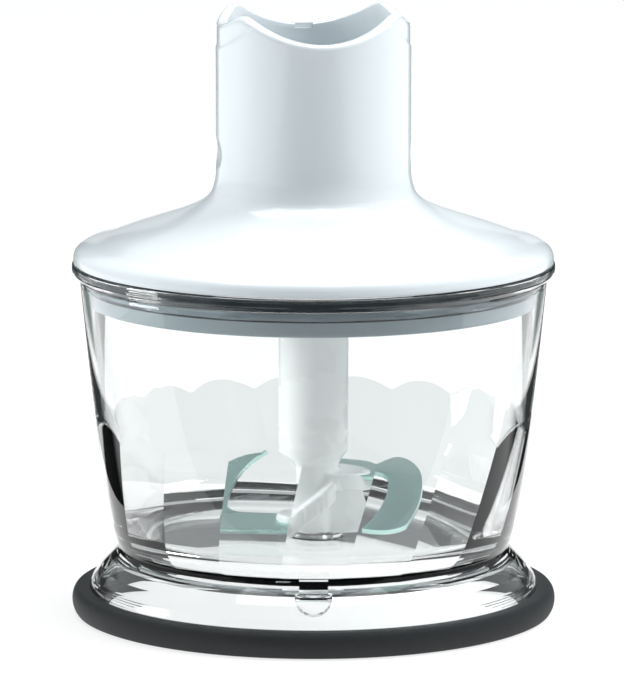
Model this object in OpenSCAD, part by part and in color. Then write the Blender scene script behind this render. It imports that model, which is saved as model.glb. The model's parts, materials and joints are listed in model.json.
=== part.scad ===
// Chopper bowl for a hand blender: clear bowl on a rubber ring, lid with a planetary
// reduction, and a two-blade rotor that stands on a pin in the middle of the bowl.
// Millimetres, +Z up, origin on the table under the bowl's axis.

/* [Bowl] */
// Outer radius of the bowl wall just under the rim flange
bowl_r = 61.2; // [51:0.2:73.6]
// Height of the bowl rim above the table
bowl_h = 93; // [77:1:112]
// Thickness of the bowl wall and of the foot skirt
bowl_wall = 2; // [1.6:0.1:2.4]
// How much smaller than the top the waist above the foot is, in radius
waist_in = 9.8; // [8:0.2:12]
// Height of the waist above the table
waist_z = 18; // [15:0.5:21.6]
// Thickness of the bowl floor
floor_t = 2.6; // [2:0.1:3.2]
// How far the rim flange stands out past the wall
flange_out = 2.2; // [1.8:0.1:2.8]
// Height of the tapered rim flange
flange_h = 5.4; // [4.4:0.1:6.6]
// Number of flat facets around the inside of the lower bowl
facet_count = 18; // [12:2:24]
// Height of the facets' arched tops above the bowl floor
facet_h = 33; // [27:1:40]
// Lean of the facets from the vertical, in degrees
facet_lean = 10; // [8:0.5:12]

/* [Anti-slip ring] */
// Height of the rubber ring
ring_h = 6.9; // [5.8:0.1:8.2]
// Thickness of rubber outside the foot skirt
ring_out = 5.2; // [4.3:0.1:6.2]
// Thickness of rubber inside the foot skirt
ring_in = 2; // [1.6:0.1:2.6]
// Thickness of rubber under the foot skirt
ring_under = 2.4; // [2:0.1:3]

/* [Lid] */
// Height of the dome from the lid's edge to the start of the neck
dome_h = 24.2; // [23:0.2:29]
// Thickness of the dome
lid_wall = 2.2; // [1.8:0.1:2.6]
// Radius of the socket that takes the motor handle
socket_r = 22.4; // [20:0.1:26.8]
// Wall of the neck around the socket
neck_wall = 3.2; // [2.6:0.1:3.8]
// Height of the neck from the dome to the peaks of its rim
neck_h = 42.6; // [36:0.5:51]
// Depth of the scoops at the front and back of the neck rim
scoop_front = 7; // [5.8:0.2:8.4]
// Depth of the scoops at the two sides of the neck rim
scoop_side = 3.8; // [3.2:0.2:4.6]
// Width of the latch notches inside the neck rim
latch_w = 4.8; // [4:0.2:5.8]
// Depth of the latch notches into the neck's wall
latch_in = 1.2; // [1:0.1:1.5]
// Height of the latch notches
latch_deep = 1.2; // [1:0.1:1.5]
// Turn of the lid on the bowl, in degrees
lid_turn = 6.5; // [-15:0.5:15]
// Depth of the grey collar below the bowl rim
collar_depth = 10.4; // [9:0.2:12]
// Thickness of the collar
collar_wall = 2.6; // [2.2:0.1:3.1]

/* [Gearbox] */
// Tooth size of all the gears
gear_module = 0.8; // [0.7:0.01:0.85]
// Teeth on the sun gear
sun_teeth = 12; // [12:3:15]
// Teeth on each planet gear
planet_teeth = 15; // [15:1:15]
// Face width of the gears
gear_h = 6.4; // [5.4:0.2:7.6]
// Play between meshing teeth, measured along the pitch circle
backlash = 0.12; // [0.08:0.01:0.2]
// Radius of the sun gear's shaft
sun_shaft_r = 3; // [2.5:0.1:3.1]
// Radius of the carrier's output shaft
output_r = 5; // [4.9:0.1:6]
// Across the flats of the hexagonal output driver
hex_af = 7; // [6:0.1:7.4]
// Length of driver that enters the rotor
driver_len = 13; // [11:0.5:15.6]
// Radius of the planet pins
planet_pin_r = 1.5; // [1.2:0.1:1.8]
// Radial clearance of every shaft that turns in a bore
run_gap = 0.05; // [0.02:0.01:0.09]

/* [Rotor] */
// Radius of the rotor's tubular shaft
hub_r = 9.2; // [8:0.1:11]
// Radius of the steel pin on the bowl floor
pin_r = 3; // [2.5:0.1:3.6]
// Wall of the bearing sleeve on the pin
bush_wall = 2; // [1.6:0.1:2.4]
// Thickness of the blade steel
blade_t = 1.2; // [1:0.1:1.4]
// Space between the blade tips and the bowl
blade_gap = 5.6; // [4:0.2:7]
// Height of the lower blade's root above the bowl floor
low_root = 3.4; // [2.8:0.1:4]
// Height of the upper blade's root above the lower one's
root_step = 12.4; // [10.4:0.2:14.8]
// Upward bend of the lower blade, in degrees
low_bend = 14; // [12:0.5:16.5]
// Downward bend of the upper blade, in degrees
high_bend = 9; // [7.5:0.5:10.5]

/* [Hidden] */
$fn = 96;
cut = 1;             // how far a cutting shape runs past the face it cuts
seat_gap = 0.4;      // space between the lid's edge and the bowl rim
side_gap = 0.8;      // space between the collar and the bowl wall
end_gap = 0.3;       // end play of a turning part
curve_steps = 10;    // straight steps in a curved stretch of a profile

// Bowl
waist_r = bowl_r - waist_in;
foot_r = bowl_r - 2.2;
foot_bottom = ring_under + 0.1;
floor_top = waist_z - 0.4;
floor_under = floor_top - floor_t;
flange_z = bowl_h - flange_h;
flange_r = bowl_r + flange_out;
rim_in_r = bowl_r - bowl_wall;
facet_top_z = floor_top + facet_h;

// Rotor
boss_r = pin_r + 3.5;
boss_top = floor_top + 1.6;
blade_reach = waist_r - bowl_wall - blade_gap;
low_z = floor_top + low_root;
high_z = low_z + root_step;
fold_y = 0.09 * blade_reach;
wing_r = 0.42 * blade_reach;

// Lid
lid_z = bowl_h + seat_gap;
edge_r = flange_r - 0.4;
neck_r = socket_r + neck_wall;
neck_z = lid_z + dome_h;
neck_top = neck_z + neck_h;
ledge_z = neck_z + 0.4;
socket_floor = ledge_z - 10;
floor_low = socket_floor - 3;
collar_r = rim_in_r - side_gap;
collar_z = bowl_h - collar_depth;
cover_z = collar_z + 3.5;
cover_t = 2.4;
cover_r = collar_r - collar_wall - 0.2;
boss_z = cover_z - 1.4;
screw_pcd_r = 30;
screw_r = 1.4;
screw_head_r = 3;
peak_angle = 56;

// Gears, stacked down from the underside of the socket floor
ring_teeth = sun_teeth + 2 * planet_teeth;
centre_r = gear_module * (sun_teeth + planet_teeth) / 2;
ring_gear_r = gear_module * ring_teeth / 2 + 3.7;
addendum = 0.9 * gear_module;
dedendum = 1.15 * gear_module;
pressure_angle = 25;
cap_t = 1.2;
gear_top = floor_low - 3;
gear_z = gear_top - gear_h;
plate_t = 3.4;
plate_z = gear_z - end_gap - plate_t;
plate_r = centre_r + planet_pin_r + 3;
bush_r = output_r + 2.5;
upper_bush_r = sun_shaft_r + 2.5;
bush_top = plate_z - 0.7;
washer_t = 0.5;
clip_t = 0.8;
shaft_end = boss_z - 1.6;
hub_top = shaft_end - 0.4;
driver_tip = hub_top - driver_len;
hex_r = hex_af / 2 / cos(30);
groove_r = output_r - 0.4;
clip_r = output_r + 1.4;
web_t = 5;
pin_top = driver_tip - web_t - 2;
bush_out_r = pin_r + run_gap + bush_wall;

// Points along a cubic curve from a to d, pulled towards b and c
function curve(a, b, c, d, n = curve_steps) =
    [for (i = [0:n]) let (t = i / n, u = 1 - t)
        u * u * u * a + 3 * u * u * t * b + 3 * u * t * t * c + t * t * t * d];

// The bowl wall's outer line from the waist up to the flange, moved in by a distance
function wall_line(inset) =
    let (rise = flange_z - waist_z)
    curve([waist_r - inset, waist_z],
          [waist_r + 3.8 - inset, waist_z + 0.145 * rise],
          [bowl_r - 3.4 - inset, waist_z + 0.49 * rise],
          [bowl_r - inset, flange_z]);

function foot_line() = concat(
    [[foot_r, foot_bottom]],
    curve([foot_r, 0.36 * waist_z], [foot_r, 0.46 * waist_z],
          [foot_r - 0.6, 0.52 * waist_z], [foot_r - 1.4, 0.57 * waist_z]),
    curve([foot_r - 3, 0.69 * waist_z], [waist_r + 1.6, waist_z - 2.4],
          [waist_r + 0.2, waist_z - 1], [waist_r, waist_z]));

function reversed(p) = [for (i = [len(p) - 1:-1:0]) p[i]];

// Outline of the bowl from the foot over the rim, closed along the axis as a solid block
function bowl_outside() = concat(
    [[0, floor_under], [waist_r + 0.1 - bowl_wall / 2, floor_under],
     [foot_r - 1.4 - 0.8 * bowl_wall, 0.57 * waist_z - 0.6 * bowl_wall],
     [foot_r - bowl_wall, 0.36 * waist_z], [foot_r - bowl_wall, foot_bottom]],
    foot_line(),
    wall_line(0),
    curve([bowl_r, flange_z], [bowl_r + 0.3, flange_z + 0.5 * flange_h],
          [flange_r, bowl_h - 0.5 * flange_h], [flange_r, bowl_h - 1.4]),
    [[flange_r, bowl_h - 0.5], [flange_r - 0.5, bowl_h], [0, bowl_h]]);

function bowl_inside() = concat(
    [[0, floor_top]],
    curve([waist_r - 8.4, floor_top], [waist_r - 4.4, floor_top],
          [waist_r - 2.2, floor_top + 2], [waist_r - 1.4, floor_top + 6]),
    [for (p = wall_line(bowl_wall)) if (p[1] > floor_top + 8) p],
    [[rim_in_r, flange_z], [rim_in_r, bowl_h + cut], [0, bowl_h + cut]]);

// One ring-shaped prism between two radii and two heights
module tube(r_out, r_in, z_low, z_high) {
    translate([0, 0, z_low]) difference() {
        cylinder(r = r_out, h = z_high - z_low);
        translate([0, 0, -cut]) cylinder(r = r_in, h = z_high - z_low + 2 * cut);
    }
}

module bowl_cavity() {
    facet_r = rim_in_r - 0.06 * (flange_z - facet_top_z) - 1.6 - facet_h * tan(facet_lean);
    difference() {
        rotate_extrude() polygon(bowl_inside());
        for (i = [0:facet_count - 1])
            rotate(i * 360 / facet_count)
                translate([facet_r, 0, floor_top])
                    rotate([0, facet_lean, 0])
                        translate([0, -facet_r / 3, -facet_h / 4])
                            cube([bowl_r / 3, facet_r / 1.5, 1.5 * facet_h]);
    }
}

module bowl_moulding() {
    difference() {
        union() {
            difference() {
                rotate_extrude() polygon(bowl_outside());
                bowl_cavity();
            }
            translate([0, 0, floor_top - cut]) cylinder(r = boss_r, h = boss_top - floor_top + cut);
        }
        translate([0, 0, floor_top - 1]) cylinder(r = pin_r, h = boss_top - floor_top + 1 + cut);
    }
}

// The moulding's side wall above the floor, and its floor with the flared foot below
module bowl_side() {
    color([0.86, 0.9, 0.9, 0.35]) intersection() {
        bowl_moulding();
        tube(flange_r + cut, boss_r + cut, floor_top, bowl_h + cut);
    }
}

module bowl_foot() {
    color([0.86, 0.9, 0.9, 0.35]) difference() {
        bowl_moulding();
        tube(flange_r + cut, boss_r + cut, floor_top, bowl_h + cut);
    }
}

module centre_pin() {
    color("silver") rotate_extrude() polygon(concat(
        [[0, floor_top - 1], [pin_r, floor_top - 1], [pin_r, pin_top - pin_r]],
        [for (a = [15:15:75]) [pin_r * cos(a), pin_top - pin_r + pin_r * sin(a)]],
        [[0, pin_top]]));
}

module anti_slip_ring() {
    channel_r = foot_r + 0.05;
    lip_r = foot_r - bowl_wall - 0.05;
    outer = channel_r + ring_out;
    color([0.16, 0.17, 0.18]) rotate_extrude() polygon(concat(
        [[lip_r - ring_in, 0]],
        [[outer - 2, 0]],
        curve([outer - 1.6, 0], [outer + 0.2, 0.25 * ring_h],
              [outer + 0.2, 0.75 * ring_h], [outer - 1.2, ring_h - 0.4]),
        curve([outer - 1.6, ring_h - 0.15], [outer - 2.4, ring_h],
              [outer - 2.8, ring_h], [channel_r + 0.6, ring_h], 4),
        [[channel_r, ring_h - 0.5], [channel_r, ring_under], [lip_r, ring_under],
         [lip_r, 0.65 * ring_h], [lip_r - ring_in, 0.65 * ring_h]]));
}

// Height at which the dome's underside stands at a radius
function dome_under(r) = floor_low - 0.4
    - (floor_low - 0.4 - lid_z - lid_wall) * max(0, r - neck_r) / (edge_r - lid_wall - neck_r);

function lid_outside() = concat(
    curve([edge_r, lid_z + 0.4], [edge_r, lid_z + 3.2],
          [edge_r - 2, lid_z + 4.4], [edge_r - 6, lid_z + 5.5]),
    curve([edge_r - 15, lid_z + 8.2], [neck_r + 16, lid_z + 11.4],
          [neck_r + 3.4, lid_z + 14.6], [neck_r + 1, neck_z - 5.4]),
    curve([neck_r + 0.6, neck_z - 4.4], [neck_r + 0.2, neck_z - 3],
          [neck_r, neck_z - 1.6], [neck_r, neck_z], 4));

module neck_scoops() {
    half_x = neck_r * sin(peak_angle);
    half_y = neck_r * cos(peak_angle);
    front_r = (half_x * half_x + scoop_front * scoop_front) / (2 * scoop_front);
    side_r = (half_y * half_y + scoop_side * scoop_side) / (2 * scoop_side);
    translate([0, neck_r + cut, neck_top - scoop_front + front_r])
        rotate([90, 0, 0]) cylinder(r = front_r, h = 2 * (neck_r + cut));
    translate([-neck_r - cut, 0, neck_top - scoop_side + side_r])
        rotate([0, 90, 0]) cylinder(r = side_r, h = 2 * (neck_r + cut));
}

module screw_places() {
    for (i = [0:2]) rotate(60 + i * 120) translate([screw_pcd_r, 0, 0]) children();
}

// Three keys that stop the ring gear turning in the lid
module gear_keys(grow) {
    for (i = [0:2]) rotate(i * 120)
        translate([ring_gear_r - 1, -2 - grow, gear_z])
            cube([2 + grow, 4 + 2 * grow, gear_h]);
}

module lid_dome() {
    color([0.93, 0.95, 0.96]) rotate(lid_turn) difference() {
        union() {
            rotate_extrude() polygon(concat(
                lid_outside(),
                [[neck_r, ledge_z], [socket_r - 1, ledge_z], [socket_r - 1, socket_floor],
                 [upper_bush_r, socket_floor], [upper_bush_r, floor_low],
                 [ring_gear_r, floor_low], [ring_gear_r, gear_z - 0.4],
                 [ring_gear_r + 2.4, gear_z - 0.4], [ring_gear_r + 2.4, floor_low - 0.4],
                 [neck_r, floor_low - 0.4], [edge_r - lid_wall - 0.6, lid_z + lid_wall],
                 [edge_r - lid_wall - 0.6, lid_z], [edge_r - 0.4, lid_z]]));
            screw_places() translate([0, 0, cover_z + cover_t])
                cylinder(r = screw_r + 2.2,
                         h = dome_under(screw_pcd_r + screw_r + 2.2) + 0.8 - cover_z - cover_t);
        }
        gear_keys(0);
        screw_places() translate([0, 0, cover_z]) cylinder(r = screw_r, h = 13);
    }
}

// The neck stands on the dome, with a latch notch in its rim at the front and the back
module lid_neck() {
    notch_z = neck_top - scoop_front - latch_deep;
    color([0.93, 0.95, 0.96]) rotate(lid_turn) difference() {
        tube(neck_r, socket_r, ledge_z, neck_top);
        neck_scoops();
        for (side = [0, 180]) rotate(side)
            translate([-latch_w / 2, socket_r - cut, notch_z])
                cube([latch_w, cut + latch_in, latch_deep + cut]);
    }
}

module lid_collar() {
    inner = collar_r - collar_wall;
    flat_r = collar_r * cos(11.25);
    color([0.62, 0.67, 0.7]) rotate(lid_turn) difference() {
        union() {
            tube(collar_r, inner, collar_z, bowl_h - 0.2);
            tube(inner + 0.5, inner - 2, cover_z + cover_t + 0.1, cover_z + cover_t + 1.6);
        }
        for (i = [0:15]) rotate(i * 22.5)
            translate([flat_r, -collar_r / 3, collar_z + 3])
                cube([collar_wall, collar_r / 1.5, collar_depth]);
    }
}

module lid_seal() {
    color([0.3, 0.32, 0.33]) rotate(lid_turn)
        tube(edge_r - lid_wall - 0.7, collar_r - 0.6, bowl_h + 0.1, lid_z + lid_wall - 0.4);
}

module gearbox_cover() {
    color([0.6, 0.65, 0.68]) rotate(lid_turn) difference() {
        union() {
            translate([0, 0, cover_z]) cylinder(r = cover_r, h = cover_t);
            translate([0, 0, boss_z]) cylinder(r = bush_r + 3, h = bush_top - boss_z);
        }
        translate([0, 0, boss_z - cut]) cylinder(r = bush_r, h = bush_top - boss_z + 2 * cut);
        screw_places() translate([0, 0, cover_z - cut]) cylinder(r = screw_r + 0.2, h = cover_t + 2 * cut);
    }
}

module cover_screws() {
    color("silver") rotate(lid_turn) screw_places() difference() {
        union() {
            translate([0, 0, cover_z - 1.8]) cylinder(r = screw_head_r, h = 1.8);
            translate([0, 0, cover_z - 0.5]) cylinder(r = screw_r, h = 12);
        }
        for (turn = [0, 90]) rotate(turn)
            translate([-2, -0.4, cover_z - 1.8 - cut]) cube([4, 0.8, cut + 1]);
    }
}

// Angle through which an involute has unwound from its base circle at a radius
function unwound(base_r, r) =
    let (t = sqrt(max(0, r * r / (base_r * base_r) - 1))) t * 180 / PI - atan(t);

// Outline of a gear with one tooth pointing along +X; play thins each tooth
function gear_outline(teeth, top, bottom, play) =
    let (pitch_r = gear_module * teeth / 2,
         base_r = pitch_r * cos(pressure_angle),
         root_r = pitch_r - bottom,
         tip_r = pitch_r + top,
         start_r = max(base_r, root_r),
         half = 90 / teeth - play / 2 / pitch_r * 180 / PI + unwound(base_r, pitch_r),
         flank = concat(root_r < base_r ? [[root_r, half]] : [],
                        [for (i = [0:3]) let (r = start_r + (tip_r - start_r) * i / 3)
                            [r, half - unwound(base_r, r)]]))
    [for (k = [0:teeth - 1]) for (s = [-1, 1])
        for (p = s < 0 ? flank : reversed(flank))
            let (a = k * 360 / teeth + s * p[1]) p[0] * [cos(a), sin(a)]];

module gear(teeth, bore_r) {
    difference() {
        linear_extrude(gear_h) polygon(gear_outline(teeth, addendum, dedendum, backlash / 2));
        translate([0, 0, -cut]) cylinder(r = bore_r, h = gear_h + 2 * cut);
    }
}

module ring_gear() {
    color([0.85, 0.83, 0.76]) rotate(lid_turn) union() {
        translate([0, 0, gear_z]) difference() {
            cylinder(r = ring_gear_r, h = gear_h);
            translate([0, 0, -cut]) linear_extrude(gear_h + 2 * cut)
                polygon(gear_outline(ring_teeth, dedendum, addendum, -backlash / 2));
        }
        gear_keys(0);
    }
}

module upper_bush() {
    color([0.72, 0.6, 0.38]) tube(upper_bush_r, sun_shaft_r + run_gap, floor_low, socket_floor - 1.6);
}

module socket_seal() {
    color([0.2, 0.2, 0.21]) tube(upper_bush_r, sun_shaft_r + run_gap, socket_floor - 1.5, socket_floor);
}

module upper_washer() {
    color("silver") tube(sun_shaft_r + 1.8, sun_shaft_r + run_gap, gear_top + end_gap, floor_low - 0.1);
}

module lower_bush() {
    color([0.72, 0.6, 0.38]) tube(bush_r, output_r + run_gap, cover_z + 1, bush_top);
}

module shaft_seal() {
    color([0.2, 0.2, 0.21]) tube(bush_r, output_r + run_gap, boss_z, cover_z + 0.9);
}

// Socket with six rounded flutes that the motor's drive enters
module drive_coupling() {
    low = socket_floor + end_gap;
    star_z = low + 3.2;
    color([0.55, 0.58, 0.6]) difference() {
        translate([0, 0, low]) cylinder(r = sun_shaft_r + 4, h = ledge_z - 0.4 - low);
        translate([0, 0, low - cut]) cylinder(r = sun_shaft_r, h = star_z - 0.2 - low + cut);
        translate([0, 0, star_z]) {
            cylinder(r = 3.4, h = 10);
            for (i = [0:5]) rotate(i * 60) translate([3.4, 0, 0]) cylinder(r = 1.3, h = 10);
        }
    }
}

module sun_gear() {
    color("silver") rotate(lid_turn) union() {
        translate([0, 0, gear_z]) linear_extrude(gear_h)
            polygon(gear_outline(sun_teeth, addendum, dedendum, backlash / 2));
        translate([0, 0, gear_z]) cylinder(r = sun_shaft_r, h = socket_floor + end_gap + 3 - gear_z);
    }
}

module planet_places() {
    for (i = [0:2]) rotate(i * 120) translate([centre_r, 0, 0]) children();
}

module planet_carrier() {
    color([0.8, 0.8, 0.78]) rotate(lid_turn) difference() {
        union() {
            translate([0, 0, plate_z]) cylinder(r = plate_r, h = plate_t);
            translate([0, 0, shaft_end]) cylinder(r = output_r, h = plate_z - shaft_end);
        }
        translate([0, 0, shaft_end - cut]) cylinder(r = hex_r, h = plate_z - shaft_end + 1.4 + cut, $fn = 6);
        planet_places() translate([0, 0, plate_z + 1]) cylinder(r = planet_pin_r, h = plate_t);
        tube(output_r + cut, groove_r, shaft_end + 0.6, shaft_end + 0.6 + clip_t);
    }
}

module carrier_cap() {
    color([0.75, 0.76, 0.78]) rotate(lid_turn) difference() {
        tube(plate_r - 0.4, centre_r - planet_pin_r - 2.8, gear_top + 0.2, gear_top + 0.2 + cap_t);
        planet_places() translate([0, 0, gear_top]) cylinder(r = planet_pin_r, h = 3);
    }
}

module planet_pins() {
    color("silver") rotate(lid_turn) planet_places()
        translate([0, 0, plate_z + 1])
            cylinder(r = planet_pin_r, h = gear_top + 0.2 + cap_t - plate_z - 1);
}

module thrust_washer() {
    color("silver") tube(output_r + 3.5, output_r, bush_top + 0.1, bush_top + 0.1 + washer_t);
}

module output_driver() {
    color("silver") rotate(lid_turn) translate([0, 0, driver_tip])
        cylinder(r = hex_r, h = plate_z + 1.4 - driver_tip, $fn = 6);
}

module carrier_circlip() {
    color("silver") rotate(lid_turn) difference() {
        tube(clip_r, groove_r, shaft_end + 0.6, shaft_end + 0.6 + clip_t);
        translate([0, -1.2, shaft_end]) cube([clip_r + cut, 2.4, 3]);
    }
}

module planet_gear(index) {
    color([0.88, 0.86, 0.8]) rotate(lid_turn + index * 120) translate([centre_r, 0, gear_z])
        gear(planet_teeth, planet_pin_r + run_gap);
}

module planet_gear_1() { planet_gear(0); }
module planet_gear_2() { planet_gear(1); }
module planet_gear_3() { planet_gear(2); }

module blade_bush() {
    color([0.78, 0.8, 0.82]) tube(bush_out_r, pin_r + run_gap, boss_top + 0.2, pin_top - pin_r);
}

// Plan of one blade: a root on the left of the hub that sweeps round to a tip at the back
function blade_plan() = let (b = blade_reach) concat(
    [[-0.16 * b, fold_y], [-0.16 * b, -0.28 * b], [-0.53 * b, -0.28 * b]],
    curve([-0.58 * b, -0.26 * b], [-0.64 * b, -0.2 * b], [-0.67 * b, 0.3 * b], [-0.56 * b, 0.72 * b]),
    curve([-0.53 * b, 0.82 * b], [-0.48 * b, 0.9 * b], [-0.4 * b, 0.93 * b], [-0.29 * b, 0.9 * b], 5),
    curve([-0.31 * b, 0.86 * b], [-0.41 * b, 0.66 * b], [-0.47 * b, 0.4 * b], [-0.48 * b, 0.17 * b]),
    [[-0.46 * b, 0.12 * b], [-0.42 * b, fold_y]]);

// A blade plate that lies flat at its root and bends up or down past the fold
module blade_plate(bend) {
    pivot = bend > 0 ? 0 : blade_t;
    linear_extrude(blade_t) intersection() {
        polygon(blade_plan());
        translate([-blade_reach, -blade_reach]) square([blade_reach, blade_reach + fold_y]);
    }
    translate([0, fold_y, pivot]) rotate([bend, 0, 0]) translate([0, -fold_y, -pivot])
        linear_extrude(blade_t) intersection() {
            polygon(blade_plan());
            translate([-blade_reach, fold_y]) square([blade_reach, blade_reach]);
        }
}

module lower_blade() {
    color([0.75, 0.8, 0.79]) translate([0, 0, low_z]) blade_plate(low_bend);
}

module upper_blade() {
    color([0.75, 0.8, 0.79]) rotate(180) translate([0, 0, high_z]) blade_plate(-high_bend);
}

// Arm of the hub that grips a blade's root, on the left
module hub_wing(z_low, z_high) {
    translate([-wing_r, -0.25 * blade_reach, z_low])
        cube([wing_r, 0.25 * blade_reach + fold_y - 0.4, z_high - z_low]);
}

module blade_hub() {
    foot = boss_top + 0.4;
    color([0.92, 0.93, 0.93]) difference() {
        union() {
            translate([0, 0, foot]) cylinder(r = hub_r, h = hub_top - foot);
            translate([0, 0, foot]) cylinder(r = hub_r + 1.6, h = high_z + blade_t - foot);
            hub_wing(foot, low_z + blade_t + 1.2);
            rotate(180) hub_wing(high_z - 2, high_z + blade_t + 1.6);
        }
        translate([0, 0, foot - cut]) cylinder(r = bush_out_r + run_gap, h = pin_top + 0.6 - foot + cut);
        rotate(lid_turn) translate([0, 0, driver_tip - 0.5])
            cylinder(r = hex_r + run_gap, h = driver_len + 0.5 + cut, $fn = 6);
        lower_blade();
        upper_blade();
    }
}

bowl_side();
bowl_foot();
centre_pin();
anti_slip_ring();
lid_dome();
lid_neck();
lid_collar();
gearbox_cover();
lid_seal();
cover_screws();
ring_gear();
upper_bush();
socket_seal();
upper_washer();
lower_bush();
shaft_seal();
drive_coupling();
sun_gear();
planet_carrier();
carrier_cap();
planet_pins();
thrust_washer();
output_driver();
carrier_circlip();
planet_gear_1();
planet_gear_2();
planet_gear_3();
blade_bush();
blade_hub();
lower_blade();
upper_blade();
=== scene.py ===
import json
import math
import bmesh
import bpy
import numpy as np
from mathutils import Matrix, Vector


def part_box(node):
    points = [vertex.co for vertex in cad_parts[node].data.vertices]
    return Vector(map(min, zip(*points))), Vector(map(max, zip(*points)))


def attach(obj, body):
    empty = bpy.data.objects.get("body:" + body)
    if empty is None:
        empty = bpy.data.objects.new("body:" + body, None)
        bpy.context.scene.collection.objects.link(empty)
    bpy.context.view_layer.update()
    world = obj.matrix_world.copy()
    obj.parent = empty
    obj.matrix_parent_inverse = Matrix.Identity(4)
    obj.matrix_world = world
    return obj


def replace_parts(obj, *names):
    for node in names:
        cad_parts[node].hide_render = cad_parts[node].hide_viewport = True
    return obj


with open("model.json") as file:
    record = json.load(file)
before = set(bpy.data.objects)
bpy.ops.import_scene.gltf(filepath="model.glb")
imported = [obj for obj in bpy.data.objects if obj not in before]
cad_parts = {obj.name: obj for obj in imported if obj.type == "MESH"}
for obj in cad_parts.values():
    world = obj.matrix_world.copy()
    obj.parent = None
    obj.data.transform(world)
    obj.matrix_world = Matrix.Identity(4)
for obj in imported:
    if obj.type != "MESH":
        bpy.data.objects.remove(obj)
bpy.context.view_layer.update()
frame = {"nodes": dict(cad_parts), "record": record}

# ---------------------------------------------------------------- camera
# A long lens a little above the lid, far enough away that the round bowl shows
# only a shallow ellipse at its rim and at its foot.
camera_away = 1.75
camera_height = 0.371
camera_aim = Vector((-0.0004, 0.0, 0.0731))

camera_data = bpy.data.cameras.new("camera")
camera_data.lens = 361.3
camera_data.sensor_width = 36
camera_data.clip_end = 60
camera = bpy.data.objects.new("camera", camera_data)
bpy.context.scene.collection.objects.link(camera)
camera.location = (camera_aim.x, -camera_away, camera_height)
camera.rotation_euler = (camera_aim - camera.location).to_track_quat("-Z", "Y").to_euler()
bpy.context.scene.camera = camera

# ---------------------------------------------------------------- studio
# A white acrylic sweep, lit a little from below, under soft light from above and from both
# sides. Dark cards beside and behind the bowl give the clear plastic its dark edges, and a
# grey card in front keeps the glossy white neck from washing out.
floor_size = 14.0


def new_material(name):
    """A node material, with its Principled shader and a quick way to add and join nodes."""
    material = bpy.data.materials.new(name)
    material.use_nodes = True
    return material, material.node_tree, material.node_tree.nodes["Principled BSDF"]


def finish_piece(bm, name, material=None, smooth=40):
    """Turns a bmesh into an object in the scene, shaded smooth up to an angle and given a material when
    asked.
    """
    mesh = bpy.data.meshes.new(name)
    bm.to_mesh(mesh)
    bm.free()
    piece = bpy.data.objects.new(name, mesh)
    bpy.context.scene.collection.objects.link(piece)
    if smooth:
        mesh.shade_smooth()
        mesh.set_sharp_from_angle(angle=math.radians(smooth))
    if material:
        mesh.materials.append(material)
    return piece


sweep, sweep_tree, sweep_shader = new_material("studio_sweep")
sweep_noise = sweep_tree.nodes.new("ShaderNodeTexNoise")
sweep_noise.inputs["Scale"].default_value = 3
sweep_mix = sweep_tree.nodes.new("ShaderNodeMix")
sweep_mix.data_type = "RGBA"
sweep_mix.inputs["A"].default_value = (0.25, 0.252, 0.255, 1)
sweep_mix.inputs["B"].default_value = (0.27, 0.272, 0.275, 1)
sweep_tree.links.new(sweep_noise.outputs["Fac"], sweep_mix.inputs["Factor"])
sweep_tree.links.new(sweep_mix.outputs["Result"], sweep_shader.inputs["Base Color"])
sweep_shader.inputs["Emission Color"].default_value = (1, 1, 1, 1)
sweep_shader.inputs["Emission Strength"].default_value = 0.76
sweep_shader.inputs["Roughness"].default_value = 0.9
sweep_shader.inputs["Specular IOR Level"].default_value = 0.0

floor_mesh = bmesh.new()
bmesh.ops.create_grid(floor_mesh, x_segments=2, y_segments=2, size=floor_size / 2)
bmesh.ops.translate(floor_mesh, verts=floor_mesh.verts, vec=(0, 2.0, -0.0002))
floor = finish_piece(floor_mesh, "floor", sweep)

world = bpy.data.worlds.new("studio")
bpy.context.scene.world = world
world.use_nodes = True
world.node_tree.nodes["Background"].inputs["Color"].default_value = (0.94, 0.975, 1, 1)
world.node_tree.nodes["Background"].inputs["Strength"].default_value = 0.46
bpy.context.scene.view_settings.view_transform = "Standard"


def soft_light(name, place, aim, width, height, power):
    """A rectangular lamp, sized in metres, that faces a point."""
    light = bpy.data.lights.new(name, "AREA")
    light.shape = "RECTANGLE"
    light.size = width
    light.size_y = height
    light.energy = power
    lamp = bpy.data.objects.new(name, light)
    lamp.location = place
    lamp.rotation_euler = (Vector(aim) - Vector(place)).to_track_quat("-Z", "Y").to_euler()
    bpy.context.scene.collection.objects.link(lamp)
    return lamp


soft_light("top_softbox", (0, 0.1, 1.6), (0, 0, 0.1), 1.6, 1.2, 19)
for side_lamp in (soft_light("right_softbox", (1.0, 0.0, 1.15), (0, 0, 0.12), 0.6, 0.9, 18),
                  soft_light("left_softbox", (-1.35, 0.05, 0.35), (0, 0, 0.08), 0.5, 0.5, 10)):
    side_lamp.visible_glossy = False
soft_light("small_lamp", (0.12, -0.45, 1.4), (0, 0, 0.12), 0.12, 0.08, 0.7)


def cloth_card(mesh, name, tone, glow):
    """Covers a card's mesh with one matte cloth and keeps the card out of shot."""
    cloth, _, cloth_shader = new_material(f"{name}_cloth")
    cloth_shader.inputs["Base Color"].default_value = (*tone, 1)
    cloth_shader.inputs["Emission Color"].default_value = (1, 1, 1, 1)
    cloth_shader.inputs["Emission Strength"].default_value = glow
    cloth_shader.inputs["Roughness"].default_value = 1
    piece = finish_piece(mesh, name, cloth, smooth=0)
    piece.visible_camera = False
    piece.visible_shadow = False
    return piece


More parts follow.
